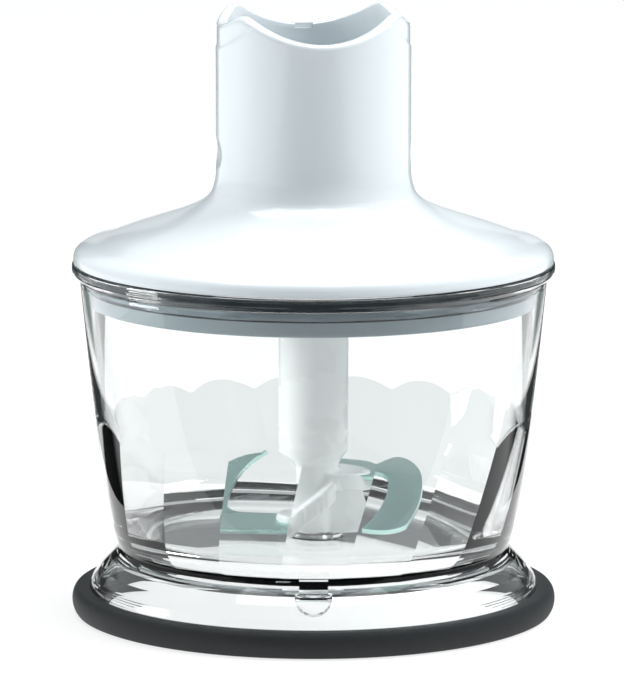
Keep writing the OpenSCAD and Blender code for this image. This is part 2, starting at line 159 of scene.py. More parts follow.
def card(name, place, width, height, tone, turn):
    """An upright card; turn is about Z, in degrees from facing the camera."""
    mesh = bmesh.new()
    bmesh.ops.create_grid(mesh, x_segments=1, y_segments=1, size=0.5)
    bmesh.ops.scale(mesh, verts=mesh.verts, vec=(width, height, 1))
    bmesh.ops.rotate(mesh, verts=mesh.verts, matrix=Matrix.Rotation(math.radians(90), 3, "X"))
    bmesh.ops.rotate(mesh, verts=mesh.verts, matrix=Matrix.Rotation(math.radians(turn), 3, "Z"))
    bmesh.ops.translate(mesh, verts=mesh.verts, vec=place)
    return cloth_card(mesh, name, tone, 0)


def make_sheer(piece, sheer_from):
    """Makes a card dark along its length and clear when it is looked at face on."""
    tree = piece.active_material.node_tree
    cloth = tree.nodes["Principled BSDF"]
    angle = tree.nodes.new("ShaderNodeLayerWeight")
    angle.inputs["Blend"].default_value = 0.5
    weight = tree.nodes.new("ShaderNodeMapRange")
    weight.inputs["From Min"].default_value = sheer_from
    weight.inputs["From Max"].default_value = sheer_from + 0.08
    clear_cloth = tree.nodes.new("ShaderNodeBsdfTransparent")
    mix = tree.nodes.new("ShaderNodeMixShader")
    tree.links.new(angle.outputs["Facing"], weight.inputs["Value"])
    tree.links.new(weight.outputs["Result"], mix.inputs["Fac"])
    tree.links.new(clear_cloth.outputs["BSDF"], mix.inputs[1])
    tree.links.new(cloth.outputs["BSDF"], mix.inputs[2])
    tree.links.new(mix.outputs["Shader"], tree.nodes["Material Output"].inputs["Surface"])


for side, name in ((-1, "left"), (1, "right")):
    low_card = card(f"{name}_low_card", (side * 0.116, 0.3, 0.018), 0.7, 0.034, (0.008, 0.01, 0.01), 90)
    mid_card = card(f"{name}_card", (side * 0.135, 0.3, 0.062), 0.7, 0.056, (0.14, 0.17, 0.165), 90)
    back_card = card(f"{name}_back_card", (side * 0.24, 0.55, 0.17), 0.22, 0.34, (0.03, 0.04, 0.042), 0)
    for edge_card in (low_card, mid_card, back_card):
        edge_card.visible_diffuse = False
    make_sheer(low_card, 0.25)
    make_sheer(mid_card, 0.46)
card("grey_card", (-0.3, -2.0, 1.3), 4.2, 2.6, (0.1, 0.115, 0.125), 0)


def floor_card(name, near, far, width, tone, glow):
    """A card laid on the sweep, from near to far along Y."""
    mesh = bmesh.new()
    bmesh.ops.create_grid(mesh, x_segments=1, y_segments=1, size=0.5)
    bmesh.ops.scale(mesh, verts=mesh.verts, vec=(width, far - near, 1))
    bmesh.ops.translate(mesh, verts=mesh.verts, vec=(0, (near + far) / 2, 0.0003))
    piece = cloth_card(mesh, name, tone, glow)
    piece.visible_diffuse = False
    return piece


floor_card("black_flag", -1.2, -0.09, 1.2, (0.01, 0.012, 0.012), 0).visible_transmission = False
# Painted shadow: a dimmer glowing card on the sweep behind the bowl, seen only through the clear plastic,
# stands in for the bowl's soft shadow there.
floor_card("painted_shadow_card", 0.08, 0.31, 0.15, (0.19, 0.2, 0.2), 0.55).visible_glossy = False

# ---------------------------------------------------------------- bowl
# The bowl is one clear injection moulding in a tough styrene plastic, polished inside
# and out: a flared foot, a thick floor, and flat facets inside the lower wall that
# throw food back onto the blades. A low boss on the floor holds the rotor's pin.
mm = 0.001
side_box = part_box("bowl_side")
rim_top = side_box[1][2] / mm
rim_r = side_box[1][0] / mm
bowl_r = rim_r - 2.2
waist_r = bowl_r - 9.8
waist_z = 18.0
foot_r = bowl_r - 2.2
foot_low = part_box("bowl_foot")[0][2] / mm
bowl_wall = 2.0
floor_top = waist_z - 0.4
floor_under = floor_top - 2.6
flange_z = rim_top - 5.4
rim_in_r = bowl_r - bowl_wall
facets = 18
facet_top = floor_top + 35.5
facet_lean = 0.1
facet_flat = 0.45
facet_twist = math.radians(8.7)
facet_turn = math.radians(-2)
fillet = 7.5


def curve(a, b, c, d, steps):
    """Points along a cubic curve from a to d, pulled towards b and c."""
    points = []
    for i in range(steps + 1):
        t = i / steps
        u = 1 - t
        weights = (u * u * u, 3 * u * u * t, 3 * u * t * t, t * t * t)
        points.append(tuple(sum(w * p[k] for w, p in zip(weights, (a, b, c, d))) for k in (0, 1)))
    return points


def lathe(outline, steps, closed=True):
    """Spins an outline of (radius, height) in millimetres round the Z axis into a closed skin."""
    bm = bmesh.new()
    corners = [bm.verts.new((r * mm, 0, z * mm)) for r, z in outline]
    edges = [bm.edges.new(pair) for pair in zip(corners, corners[1:])]
    if closed:
        edges.append(bm.edges.new((corners[-1], corners[0])))
    bmesh.ops.spin(bm, geom=corners + edges, cent=(0, 0, 0), axis=(0, 0, 1), angle=2 * math.pi,
                   steps=steps, use_merge=True, use_duplicate=False)
    bmesh.ops.remove_doubles(bm, verts=bm.verts, dist=1e-6)
    bmesh.ops.dissolve_degenerate(bm, edges=bm.edges, dist=1e-7)
    bmesh.ops.recalc_face_normals(bm, faces=bm.faces)
    return bm


def wall_line(inset, steps):
    """The bowl's wall from the waist up to the flange, moved inwards by inset."""
    rise = flange_z - waist_z
    return curve((waist_r - inset, waist_z), (waist_r + 3.8 - inset, waist_z + 0.145 * rise),
                 (bowl_r - 3.4 - inset, waist_z + 0.49 * rise), (bowl_r - inset, flange_z), steps)


fillet_arc = [(waist_r - 1.4 - fillet * (1 - math.cos(a)), floor_top + fillet * (1 - math.sin(a)))
              for a in map(math.radians, range(0, 91, 5))]
bowl_outline = (
    [(0, floor_under), (20, floor_under), (40, floor_under)]
    + curve((waist_r - 3.0, floor_under), (waist_r - 1.2, floor_under),
            (waist_r + 0.2, floor_under - 0.5), (waist_r + 1.4, floor_under - 2.0), 6)
    + curve((foot_r - 3.1, 9.2), (foot_r - 2.4, 8.3), (foot_r - bowl_wall, 7.6), (foot_r - bowl_wall, 6.2), 6)
    + [(foot_r - bowl_wall, foot_low), (foot_r, foot_low)]
    + curve((foot_r, 6.5), (foot_r, 8.3), (foot_r - 0.6, 9.4), (foot_r - 1.4, 10.3), 6)
    + curve((foot_r - 3.0, 12.4), (waist_r + 1.6, 15.6), (waist_r + 0.2, 17.0), (waist_r, waist_z), 8)
    + wall_line(0, 40)[1:]
    + curve((bowl_r, flange_z + 0.2), (bowl_r + 0.3, rim_top - 2.7),
            (rim_r, rim_top - 2.7), (rim_r, rim_top - 1.4), 8)
    + curve((rim_r, rim_top - 0.6), (rim_r, rim_top - 0.2),
            (rim_r - 0.2, rim_top), (rim_r - 0.6, rim_top), 4)
    + curve((rim_in_r + 0.5, rim_top), (rim_in_r + 0.2, rim_top),
            (rim_in_r, rim_top - 0.2), (rim_in_r, rim_top - 0.5), 3)
    + [point for point in reversed(wall_line(bowl_wall, 100)) if point[1] > floor_top + fillet]
    + fillet_arc
    + [(36, floor_top), (26, floor_top), (16, floor_top), (7.4, floor_top)]
    + curve((6.9, floor_top), (6.6, floor_top + 0.1), (6.5, floor_top + 0.3), (6.5, floor_top + 0.6), 3)
    + curve((6.5, floor_top + 1.2), (6.5, floor_top + 1.5), (6.3, floor_top + 1.6), (6.0, floor_top + 1.6), 3)
    + [(0, floor_top + 1.6)]
)
bowl_mesh = lathe(bowl_outline, facets * 20, closed=False)

# The facets: inside the wall, each column of the mesh is drawn in to a leaning facet that
# is flatter than the wall, and the facets turn a little round the bowl on their way down.
line_r, line_z = np.array(wall_line(0, 200)).T
half_facet = math.pi / facets
for corner in bowl_mesh.verts:
    x, y, z = corner.co / mm
    r = math.hypot(x, y)
    if r < 7 or not floor_top - 0.01 < z < facet_top or r > np.interp(z, line_z, line_r) - 0.6 * bowl_wall:
        continue
    drop = facet_top - z
    turn = facet_turn - facet_twist * drop / (facet_top - floor_top)
    angle = math.atan2(y, x)
    local = (angle + half_facet) % (2 * half_facet) - half_facet
    flat_r = np.interp(z, line_z, line_r) - bowl_wall - facet_lean * drop
    low = min(1.0, max(0.0, 1 - (z - floor_top) / fillet))
    flat_r -= fillet * (1 - math.sqrt(1 - low * low))
    r = min(r, flat_r * (1 + facet_flat * (1 / math.cos(local) - 1)))
    corner.co.x = r * math.cos(angle + turn) * mm
    corner.co.y = r * math.sin(angle + turn) * mm

clear, clear_tree, clear_shader = new_material("clear_plastic")
clear_shader.inputs["Base Color"].default_value = (0.975, 0.99, 0.988, 1)
clear_shader.inputs["Transmission Weight"].default_value = 1
clear_shader.inputs["IOR"].default_value = 1.49
clear_noise = clear_tree.nodes.new("ShaderNodeTexNoise")
clear_noise.inputs["Scale"].default_value = 60
clear_coords = clear_tree.nodes.new("ShaderNodeTexCoord")
clear_range = clear_tree.nodes.new("ShaderNodeMapRange")
clear_range.inputs["To Min"].default_value = 0.0
clear_range.inputs["To Max"].default_value = 0.03
clear_tree.links.new(clear_coords.outputs["Object"], clear_noise.inputs["Vector"])
clear_tree.links.new(clear_noise.outputs["Fac"], clear_range.inputs["Value"])
clear_tree.links.new(clear_range.outputs["Result"], clear_shader.inputs["Roughness"])

# Lamps light what stands in the bowl as they would through thin clear plastic.
clear_lamps = clear_tree.nodes.new("ShaderNodeLightPath")
clear_open = clear_tree.nodes.new("ShaderNodeBsdfTransparent")
clear_open.inputs["Color"].default_value = (0.9, 0.92, 0.915, 1)
clear_mix = clear_tree.nodes.new("ShaderNodeMixShader")
clear_tree.links.new(clear_lamps.outputs["Is Shadow Ray"], clear_mix.inputs["Fac"])
clear_tree.links.new(clear_shader.outputs["BSDF"], clear_mix.inputs[1])
clear_tree.links.new(clear_open.outputs["BSDF"], clear_mix.inputs[2])
clear_tree.links.new(clear_mix.outputs["Shader"], clear_tree.nodes["Material Output"].inputs["Surface"])

bowl = finish_piece(bowl_mesh, "clear_bowl", clear, smooth=5)


def boolean(piece, tool, operation):
    """Joins or cuts a closed piece with a closed tool, for good, and drops the tool."""
    step = piece.modifiers.new(operation, "BOOLEAN")
    step.operation = operation
    step.solver = "EXACT"
    step.object = tool
    bpy.context.view_layer.update()
    result = bpy.data.meshes.new_from_object(piece.evaluated_get(bpy.context.evaluated_depsgraph_get()))
    piece.modifiers.clear()
    piece.data = result
    bpy.data.objects.remove(tool)


# The moulding's tongue at the front of the foot: a rib over the waist that ends in a
# rounded tab.
tongue_r = 4.8
tongue_drop = 5.1
tongue_z = 15.2
tongue_y = -58.0
tongue_deep = 5.5
rib_y = -53.0
rib_z = 16.6
rib_slope = 1.4
tab = bmesh.new()
half_round = np.linspace(math.pi, 2 * math.pi, 25)
outline = [(tongue_r * math.cos(a), tongue_drop * math.sin(a)) for a in half_round]
face = tab.faces.new([tab.verts.new((x * mm, tongue_y * mm, (tongue_z + z) * mm)) for x, z in outline])
depth = bmesh.ops.extrude_face_region(tab, geom=[face])
tab_back = [v for v in depth["geom"] if isinstance(v, bmesh.types.BMVert)]
bmesh.ops.translate(tab, verts=tab_back, vec=(0, tongue_deep * mm, 0))
bmesh.ops.recalc_face_normals(tab, faces=tab.faces)
boolean(bowl, finish_piece(tab, "tongue_tab", smooth=0), "UNION")
rib = bmesh.new()
bmesh.ops.create_cube(rib, size=1)
bmesh.ops.scale(rib, verts=rib.verts, vec=(0.0074, 0.0044, 0.0038))
bmesh.ops.translate(rib, verts=rib.verts, vec=(0, rib_y * mm, rib_z * mm))
for corner in rib.verts:
    if corner.co.z > rib_z * mm and corner.co.y < rib_y * mm:
        corner.co.y += rib_slope * mm
boolean(bowl, finish_piece(rib, "tongue_rib", smooth=0), "UNION")
bowl.data.set_sharp_from_angle(angle=math.radians(5))
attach(bowl, "bowl")
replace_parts(bowl, "bowl_side", "bowl_foot")

# ---------------------------------------------------------------- anti-slip ring
# A soft charcoal rubber ring with a groove in its inner side, stretched over the foot's
# edge. Its moulded skin is matte and a little dusty.
ring_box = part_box("anti_slip_ring")
ring_r = ring_box[1][0] / mm
ring_h = ring_box[1][2] / mm
groove_r = foot_r + 0.05
lip_r = foot_r - bowl_wall - 0.05


def surface_group():
    """Node group: slow tone changes and fine grain over a moulded or ground surface."""
    group = bpy.data.node_groups.new("surface_tone_and_grain", "ShaderNodeTree")
    for name, kind, value in (("Tone A", "NodeSocketColor", (0.8, 0.8, 0.8, 1)),
                              ("Tone B", "NodeSocketColor", (0.7, 0.7, 0.7, 1)),
                              ("Tone Size", "NodeSocketFloat", 40), ("Grain Size", "NodeSocketFloat", 900),
                              ("Rough Low", "NodeSocketFloat", 0.2), ("Rough High", "NodeSocketFloat", 0.3)):
        socket = group.interface.new_socket(name, in_out="INPUT", socket_type=kind)
        socket.default_value = value
    group.interface.new_socket("Color", in_out="OUTPUT", socket_type="NodeSocketColor")
    group.interface.new_socket("Roughness", in_out="OUTPUT", socket_type="NodeSocketFloat")
    group.interface.new_socket("Height", in_out="OUTPUT", socket_type="NodeSocketFloat")
    nodes, links = group.nodes, group.links
    given, out = nodes.new("NodeGroupInput"), nodes.new("NodeGroupOutput")
    coords = nodes.new("ShaderNodeTexCoord")
    tone = nodes.new("ShaderNodeTexNoise")
    tone.inputs["Detail"].default_value = 4
    grain = nodes.new("ShaderNodeTexNoise")
    grain.inputs["Detail"].default_value = 3
    links.new(coords.outputs["Object"], tone.inputs["Vector"])
    links.new(coords.outputs["Object"], grain.inputs["Vector"])
    links.new(given.outputs["Tone Size"], tone.inputs["Scale"])
    links.new(given.outputs["Grain Size"], grain.inputs["Scale"])
    mix = nodes.new("ShaderNodeMix")
    mix.data_type = "RGBA"
    links.new(tone.outputs["Fac"], mix.inputs["Factor"])
    links.new(given.outputs["Tone A"], mix.inputs["A"])
    links.new(given.outputs["Tone B"], mix.inputs["B"])
    rough = nodes.new("ShaderNodeMapRange")
    links.new(tone.outputs["Fac"], rough.inputs["Value"])
    rough.inputs["From Min"].default_value = 0.3
    rough.inputs["From Max"].default_value = 0.7
    links.new(given.outputs["Rough Low"], rough.inputs["To Min"])
    links.new(given.outputs["Rough High"], rough.inputs["To Max"])
    links.new(mix.outputs["Result"], out.inputs["Color"])
    links.new(rough.outputs["Result"], out.inputs["Roughness"])
    links.new(grain.outputs["Fac"], out.inputs["Height"])
    return group


surface_tone = surface_group()


def surface_material(name, tone_a, tone_b, rough, tone_size=40, grain_size=900, bump=0.02, **constants):
    """A Principled material fed by the shared group; constants go straight on the shader's sockets."""
    material, tree, shader = new_material(name)
    node = tree.nodes.new("ShaderNodeGroup")
    node.node_tree = surface_tone
    for socket, value in (("Tone A", (*tone_a, 1)), ("Tone B", (*tone_b, 1)), ("Tone Size", tone_size),
                          ("Grain Size", grain_size), ("Rough Low", rough[0]), ("Rough High", rough[1])):
        node.inputs[socket].default_value = value
    bumps = tree.nodes.new("ShaderNodeBump")
    bumps.inputs["Strength"].default_value = bump
    bumps.inputs["Distance"].default_value = 0.0005
    tree.links.new(node.outputs["Color"], shader.inputs["Base Color"])
    tree.links.new(node.outputs["Roughness"], shader.inputs["Roughness"])
    tree.links.new(node.outputs["Height"], bumps.inputs["Height"])
    tree.links.new(bumps.outputs["Normal"], shader.inputs["Normal"])
    for socket, value in constants.items():
        shader.inputs[socket.replace("_", " ")].default_value = value
    return material


ring_rubber = surface_material("ring_rubber", (0.012, 0.014, 0.016), (0.02, 0.023, 0.025), (0.55, 0.7),
                               tone_size=25, grain_size=2200, bump=0.35, Specular_IOR_Level=0.4)
ring_outline = (
    [(lip_r - 2, 0.5), (lip_r - 1.5, 0), (ring_r - 2.1, 0)]
    + curve((ring_r - 1.7, 0), (ring_r + 0.1, 0.25 * ring_h),
            (ring_r + 0.1, 0.75 * ring_h), (ring_r - 1.3, ring_h - 0.4), 20)[1:]
    + curve((ring_r - 1.7, ring_h - 0.15), (ring_r - 2.3, ring_h),
            (ring_r - 2.8, ring_h), (groove_r + 0.7, ring_h), 8)
    + curve((groove_r + 0.35, ring_h), (groove_r + 0.1, ring_h - 0.05),
            (groove_r, ring_h - 0.2), (groove_r, ring_h - 0.6), 4)
    + [(groove_r, 2.4), (lip_r, 2.4), (lip_r, 0.62 * ring_h)]
    + curve((lip_r - 0.3, 0.65 * ring_h), (lip_r - 0.6, 0.65 * ring_h),
            (lip_r - 1.7, 0.65 * ring_h), (lip_r - 2, 0.55 * ring_h), 5)
)
ring = finish_piece(lathe(ring_outline, 256), "rubber_ring", ring_rubber, smooth=35)
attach(ring, "ring")
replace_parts(ring, "anti_slip_ring")

# ---------------------------------------------------------------- lid
# A gloss white moulding in one piece: the dome that covers the bowl, and the neck that
# the motor handle plugs into. The neck's rim dips at the front, at the back and at the
# sides, so that the handle only goes in one way round.
lid_turn = math.radians(6.5)
lid_z = rim_top + 0.4
edge_r = rim_r - 0.4
socket_r = 22.4
neck_r = socket_r + 3.2
neck_z = lid_z + 24.2
neck_top = neck_z + 42.6
ledge_z = neck_z + 0.4
socket_floor = ledge_z - 10
floor_low = socket_floor - 3
gear_wall_r = 20.5
gear_z = floor_low - 9.4
front_dip = 7.0
side_dip = 3.8
peak = math.radians(56)

lid_outline = (
    curve((edge_r - 0.4, lid_z), (edge_r - 0.15, lid_z), (edge_r, lid_z + 0.15), (edge_r, lid_z + 0.4), 3)
    + curve((edge_r, lid_z + 0.9), (edge_r, lid_z + 3.6),
            (edge_r - 2, lid_z + 4.5), (edge_r - 6, lid_z + 5.6), 18)
    + curve((edge_r - 9, lid_z + 6.5), (neck_r + 16, lid_z + 11.4),
            (neck_r + 3.4, lid_z + 13.6), (neck_r + 1, neck_z - 5.4), 50)
    + curve((neck_r + 0.7, neck_z - 4.4), (neck_r + 0.25, neck_z - 3),
            (neck_r, neck_z - 1.6), (neck_r, neck_z), 6)
    + [(neck_r, neck_z + 0.5 * i) for i in range(1, 82)]
    + curve((neck_r, neck_top - 1.7), (neck_r - 0.1, neck_top - 0.7),
            (neck_r - 0.6, neck_top), (neck_r - 1.6, neck_top), 8)
    + curve((socket_r + 0.7, neck_top), (socket_r + 0.3, neck_top),
            (socket_r, neck_top - 0.2), (socket_r, neck_top - 0.6), 4)
    + [(socket_r, neck_top - 2 * i) for i in range(1, 20)]
    + [(socket_r, ledge_z), (socket_r - 1, ledge_z), (socket_r - 1, socket_floor),
       (5.5, socket_floor), (5.5, floor_low), (gear_wall_r, floor_low), (gear_wall_r, gear_z - 0.4),
       (gear_wall_r + 2.4, gear_z - 0.4), (gear_wall_r + 2.4, floor_low - 0.4), (neck_r, floor_low - 0.4)]
    + curve((neck_r + 4, floor_low - 1.2), (neck_r + 14, floor_low - 4), (edge_r - 14, lid_z + 4.5),
            (edge_r - 5, lid_z + 2.4), 10)
    + [(edge_r - 2.8, lid_z + 1.6), (edge_r - 2.8, lid_z)]
)
lid_mesh = lathe(lid_outline, 320)

half_x, half_y = neck_r * math.sin(peak), neck_r * math.cos(peak)
front_r = (half_x ** 2 + front_dip ** 2) / (2 * front_dip)
side_r = (half_y ** 2 + side_dip ** 2) / (2 * side_dip)
blend = 0.8
bend_from = neck_z + 12


def rim_height(angle):
    """Height of the wavy rim: two round scoops that meet in four soft peaks."""
    x, y = neck_r * math.cos(angle), neck_r * math.sin(angle)
    front = neck_top - front_dip + front_r - math.sqrt(front_r ** 2 - x * x)
    side = neck_top - side_dip + side_r - math.sqrt(max(0.0, side_r ** 2 - y * y))
    both = math.exp(-(front - neck_top) / blend) + math.exp(-(side - neck_top) / blend)
    return neck_top - blend * math.log(both)


dimple_z = neck_z + 4.8
dimple_half = 4.4
dimple_deep = 0.6
band_deep = 0.3
band_z = neck_top - 10.2
for corner in lid_mesh.verts:
    x, y, z = corner.co / mm
    r = math.hypot(x, y)
    angle = math.atan2(y, x)
    if z < neck_z - 2 or r < socket_r - 0.5:
        continue
    if z > bend_from:
        z = bend_from + (z - bend_from) * (rim_height(angle) - bend_from) / (neck_top - bend_from)
        corner.co.z = z * mm
    aside = math.degrees(math.atan2(abs(y), abs(x)))
    if r > neck_r - 0.2:
        line = band_z + 7.6 * (aside / 47) ** 2
        inset = band_deep * min(1.0, max(0.0, (z - line) / 0.5)) * min(1.0, max(0.0, (56 - aside) / 10))
        spot = 1 - (aside / 15) ** 2 - ((z - dimple_z) / dimple_half) ** 2
        low_share = max(0.0, min(1.0, (dimple_z - z) / dimple_half + 0.5))
        inset += dimple_deep * min(1.0, max(0.0, spot) * 1.5) * (0.6 + 0.4 * low_share)
        corner.co.x *= (r - inset) / r
        corner.co.y *= (r - inset) / r
bmesh.ops.rotate(lid_mesh, verts=lid_mesh.verts, cent=(0, 0, 0), matrix=Matrix.Rotation(lid_turn, 3, "Z"))

lid_white = surface_material("lid_white", (0.7, 0.76, 0.79), (0.73, 0.79, 0.82), (0.1, 0.16),
                             tone_size=18, grain_size=420, bump=0.03,
                             Coat_Weight=0.4, Coat_Roughness=0.06, Specular_IOR_Level=0.55)
lid = finish_piece(lid_mesh, "lid_shell_white", lid_white, smooth=30)
notch_w = 4.8
notch_in = 2.2
notch_h = 2.4
for side in (-1, 1):
    notch = bmesh.new()
    bmesh.ops.create_cube(notch, size=1)
    bmesh.ops.scale(notch, verts=notch.verts, vec=(notch_w * mm, notch_in * mm, notch_h * mm))
    bmesh.ops.translate(notch, verts=notch.verts,
                        vec=(0, side * (socket_r + 0.1) * mm, (neck_top - front_dip) * mm))
    bmesh.ops.rotate(notch, verts=notch.verts, cent=(0, 0, 0), matrix=Matrix.Rotation(lid_turn, 3, "Z"))
    boolean(lid, finish_piece(notch, "latch_notch", smooth=0), "DIFFERENCE")
lid.data.set_sharp_from_angle(angle=math.radians(30))
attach(lid, "lid")
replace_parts(lid, "lid_dome", "lid_neck")

# ---------------------------------------------------------------- collar
# A grey moulded skirt clipped under the dome. It reaches down inside the bowl's rim and
# centres the lid: sixteen flats above a round lower lip.
collar_r = rim_in_r - 0.8
collar_z = rim_top - 10.4
collar_in = collar_r - 2.6
collar_flats = 16
lip_z = collar_z + 4.0
flats_top = rim_top - 3.2
collar_outline = (
    curve((collar_in + 0.6, collar_z + 0.3), (collar_in + 1, collar_z), (collar_r - 1, collar_z),
          (collar_r - 0.5, collar_z + 0.2), 6)
    + curve((collar_r - 0.2, collar_z + 0.4), (collar_r, collar_z + 0.7), (collar_r, collar_z + 0.9),
            (collar_r, collar_z + 1.2), 4)
    + [(collar_r, collar_z + 2.4), (collar_r, lip_z - 0.2), (collar_r, lip_z)]
    + [(collar_r, lip_z + 0.2 + 0.3 * i) for i in range(12)]
    + [(collar_r, rim_top - 0.2), (collar_in, rim_top - 0.2), (collar_in, collar_z + 1.0)]
)
collar_mesh = lathe(collar_outline, collar_flats * 24)
half_flat = math.pi / collar_flats
collar_turn = math.radians(13.5)
pocket_z = lip_z + 0.9
pocket_deep = 0.7
pocket_half = 0.7
pocket_side = math.radians(5)
for corner in collar_mesh.verts:
    x, y, z = corner.co / mm
    r = math.hypot(x, y)
    if lip_z + 0.05 < z < flats_top and r > collar_in + 0.5:
        local = (math.atan2(y, x) - collar_turn + half_flat) % (2 * half_flat) - half_flat
        flat_r = collar_r * math.cos(half_flat) / math.cos(local)
        pocket = 1 - ((half_flat - abs(local)) / pocket_side) ** 2 - ((z - pocket_z) / pocket_half) ** 2
        wanted = min(r, flat_r) - pocket_deep * max(0.0, pocket)
        corner.co.x *= wanted / r
        corner.co.y *= wanted / r
collar_grey = surface_material("collar_grey", (0.26, 0.32, 0.355), (0.3, 0.36, 0.395), (0.2, 0.3),
                               tone_size=30, grain_size=900, bump=0.04)

# Painted shade, by height: the collar's top band is painted near black for the dark reflection of the bowl's
# flange, and the ledges over the lip for their shadow.
collar_tree = collar_grey.node_tree
collar_place = collar_tree.nodes.new("ShaderNodeTexCoord")
collar_split = collar_tree.nodes.new("ShaderNodeSeparateXYZ")
collar_tree.links.new(collar_place.outputs["Object"], collar_split.inputs["Vector"])
collar_color = collar_tree.nodes["Group"].outputs["Color"]
band_blur = 0.05
for painted_shade_edges in ((lip_z - 0.05, lip_z + 0.25), (flats_top - 0.2, rim_top)):
    inside = collar_tree.nodes.new("ShaderNodeMath")
    inside.operation = "SUBTRACT"
    for i, edge in enumerate(painted_shade_edges):
        above = collar_tree.nodes.new("ShaderNodeMapRange")
        above.inputs["From Min"].default_value = (edge - band_blur) * mm
        above.inputs["From Max"].default_value = (edge + band_blur) * mm
        collar_tree.links.new(collar_split.outputs["Z"], above.inputs["Value"])
        collar_tree.links.new(above.outputs["Result"], inside.inputs[i])
    painted_shade_mix = collar_tree.nodes.new("ShaderNodeMix")
    painted_shade_mix.data_type = "RGBA"
    # Near black: the colour of the painted reflection and the painted shadow.
    painted_shade_mix.inputs["B"].default_value = (0.018, 0.028, 0.034, 1)
    collar_tree.links.new(inside.outputs["Value"], painted_shade_mix.inputs["Factor"])
    collar_tree.links.new(collar_color, painted_shade_mix.inputs["A"])
    collar_color = painted_shade_mix.outputs["Result"]
collar_tree.links.new(collar_color, collar_tree.nodes["Principled BSDF"].inputs["Base Color"])
collar = finish_piece(collar_mesh, "lid_collar_grey", collar_grey, smooth=14)
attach(collar, "lid")
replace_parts(collar, "lid_collar")

# ---------------------------------------------------------------- rotor hub
# A white moulded tube that stands on the pin and takes the lid's hexagonal driver in its
# top. At its foot two arms grip the blades, one low and one high, and a sloping ramp
# joins them across the front.
hub_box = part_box("blade_hub")
hub_foot = hub_box[0][2] / mm
hub_top = hub_box[1][2] / mm
hub_r = 9.2
low_z = floor_top + 3.4
high_z = low_z + 12.4
pin_bore = 5.1
drive_bore = 4.1
driver_tip = hub_top - 13
pin_bore_top = driver_tip - 6.4

neck_low = high_z + 3
hub_mesh = lathe(
    [(0, pin_bore_top), (pin_bore, pin_bore_top), (pin_bore, hub_foot), (6.6, hub_foot)]
    + curve((6.6, hub_foot + 1), (6.4, low_z + 3), (6.5, high_z - 4), (6.8, neck_low - 1), 8)
    + curve((6.9, neck_low), (7.1, neck_low + 1.5), (8.8, neck_low + 2.6), (hub_r, neck_low + 4.6), 8)
    + [(hub_r, hub_top - 0.8), (hub_r - 0.5, hub_top), (drive_bore, hub_top), (drive_bore, driver_tip - 0.5),
       (0, driver_tip - 0.5)], 96, closed=False)
white_satin = surface_material("hub_white", (0.88, 0.9, 0.9), (0.92, 0.93, 0.93), (0.22, 0.32),
                               tone_size=40, grain_size=700, bump=0.04, Coat_Weight=0.15, Coat_Roughness=0.15)


def helix_block(bm, inner, outer, z_low, z_high, start, sweep, drop, steps):
    """A sloping flange: a section of radius inner to outer, swept round the axis while it sinks by drop."""
    ring_corners = [bm.verts.new((r * mm * math.cos(start), r * mm * math.sin(start), z * mm))
                    for r, z in ((inner, z_low), (outer, z_low), (outer, z_high), (inner, z_high))]
    face = bm.faces.new(ring_corners)
    bmesh.ops.spin(bm, geom=[face] + list(face.edges) + ring_corners, cent=(0, 0, 0), axis=(0, 0, 1),
                   dvec=(0, 0, -drop * mm / steps), angle=sweep, steps=steps, use_duplicate=True)


def lobe(bm, x, y, half_x, half_y, z_low, z_high, top_share):
    """A rounded boss on an oval plan whose top is a share of its bottom."""
    size = bmesh.ops.create_cone(bm, cap_ends=True, segments=48, radius1=mm, radius2=top_share * mm,
                                 depth=(z_high - z_low) * mm)
    bmesh.ops.scale(bm, verts=size["verts"], vec=(half_x, half_y, 1))
    bmesh.ops.translate(bm, verts=size["verts"], vec=(x * mm, y * mm, (z_low + z_high) / 2 * mm))


arms = bmesh.new()
helix_block(arms, 5.6, 9.3, high_z - 5.2, high_z - 0.2, math.radians(-52), math.radians(-90), 12.4, 30)
helix_block(arms, 5.6, 9.3, high_z - 3.0, high_z - 0.2, math.radians(20), math.radians(-74), 0.0, 12)
lobe(arms, 5.2, 0.0, 9.2, 6.8, high_z - 2.6, high_z + 1.6, 0.86)
lobe(arms, 3.6, 1.2, 9.0, 6.6, hub_foot, high_z - 1.5, 0.82)
lobe(arms, -4.6, -0.6, 7.2, 6.4, hub_foot, low_z + 2.8, 0.9)
bmesh.ops.recalc_face_normals(arms, faces=arms.faces)
arms_copy = bpy.data.meshes.new("arms")
arms.to_mesh(arms_copy)
arms.free()
hub_mesh.from_mesh(arms_copy)
hub = finish_piece(hub_mesh, "rotor_hub", white_satin, smooth=50)
remesh = hub.modifiers.new("one_moulding", "REMESH")
remesh.mode = "VOXEL"
remesh.voxel_size = 0.00035
remesh.use_smooth_shade = True
soften = hub.modifiers.new("soft_corners", "SMOOTH")
soften.factor = 0.5
soften.iterations = 4
bpy.context.view_layer.update()
hub_final = bpy.data.meshes.new_from_object(hub.evaluated_get(bpy.context.evaluated_depsgraph_get()))
hub.modifiers.clear()
hub.data = hub_final
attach(hub, "rotor")
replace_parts(hub, "blade_hub")

# ---------------------------------------------------------------- blades
# Two curved blades stamped from stainless sheet, moulded into the hub's arms. Each runs
# out flat, sweeps round and bends up or down towards its tip, with a ground edge.
blade_t = 1.2
reach = waist_r - bowl_wall - 5.6
fold_y = 0.09 * reach
cut_step = 1.5
bend_lead = 3
bend_run = 8
ground_edge = 0.9


def blade_plan(steps=14):
    """Outline of one blade seen from above: straight root, curved back and hooked tip."""
    def at(*points):
        return [(x * reach, y * reach) for x, y in points]
    return (at((-0.16, 0.09), (-0.16, -0.28), (-0.53, -0.28))
            + curve(*at((-0.58, -0.26), (-0.64, -0.2), (-0.67, 0.3), (-0.56, 0.72)), steps)
            + curve(*at((-0.53, 0.82), (-0.48, 0.9), (-0.4, 0.93), (-0.29, 0.9)), 6)
            + curve(*at((-0.31, 0.86), (-0.41, 0.66), (-0.47, 0.4), (-0.48, 0.17)), steps)
            + at((-0.46, 0.12), (-0.42, 0.09)))


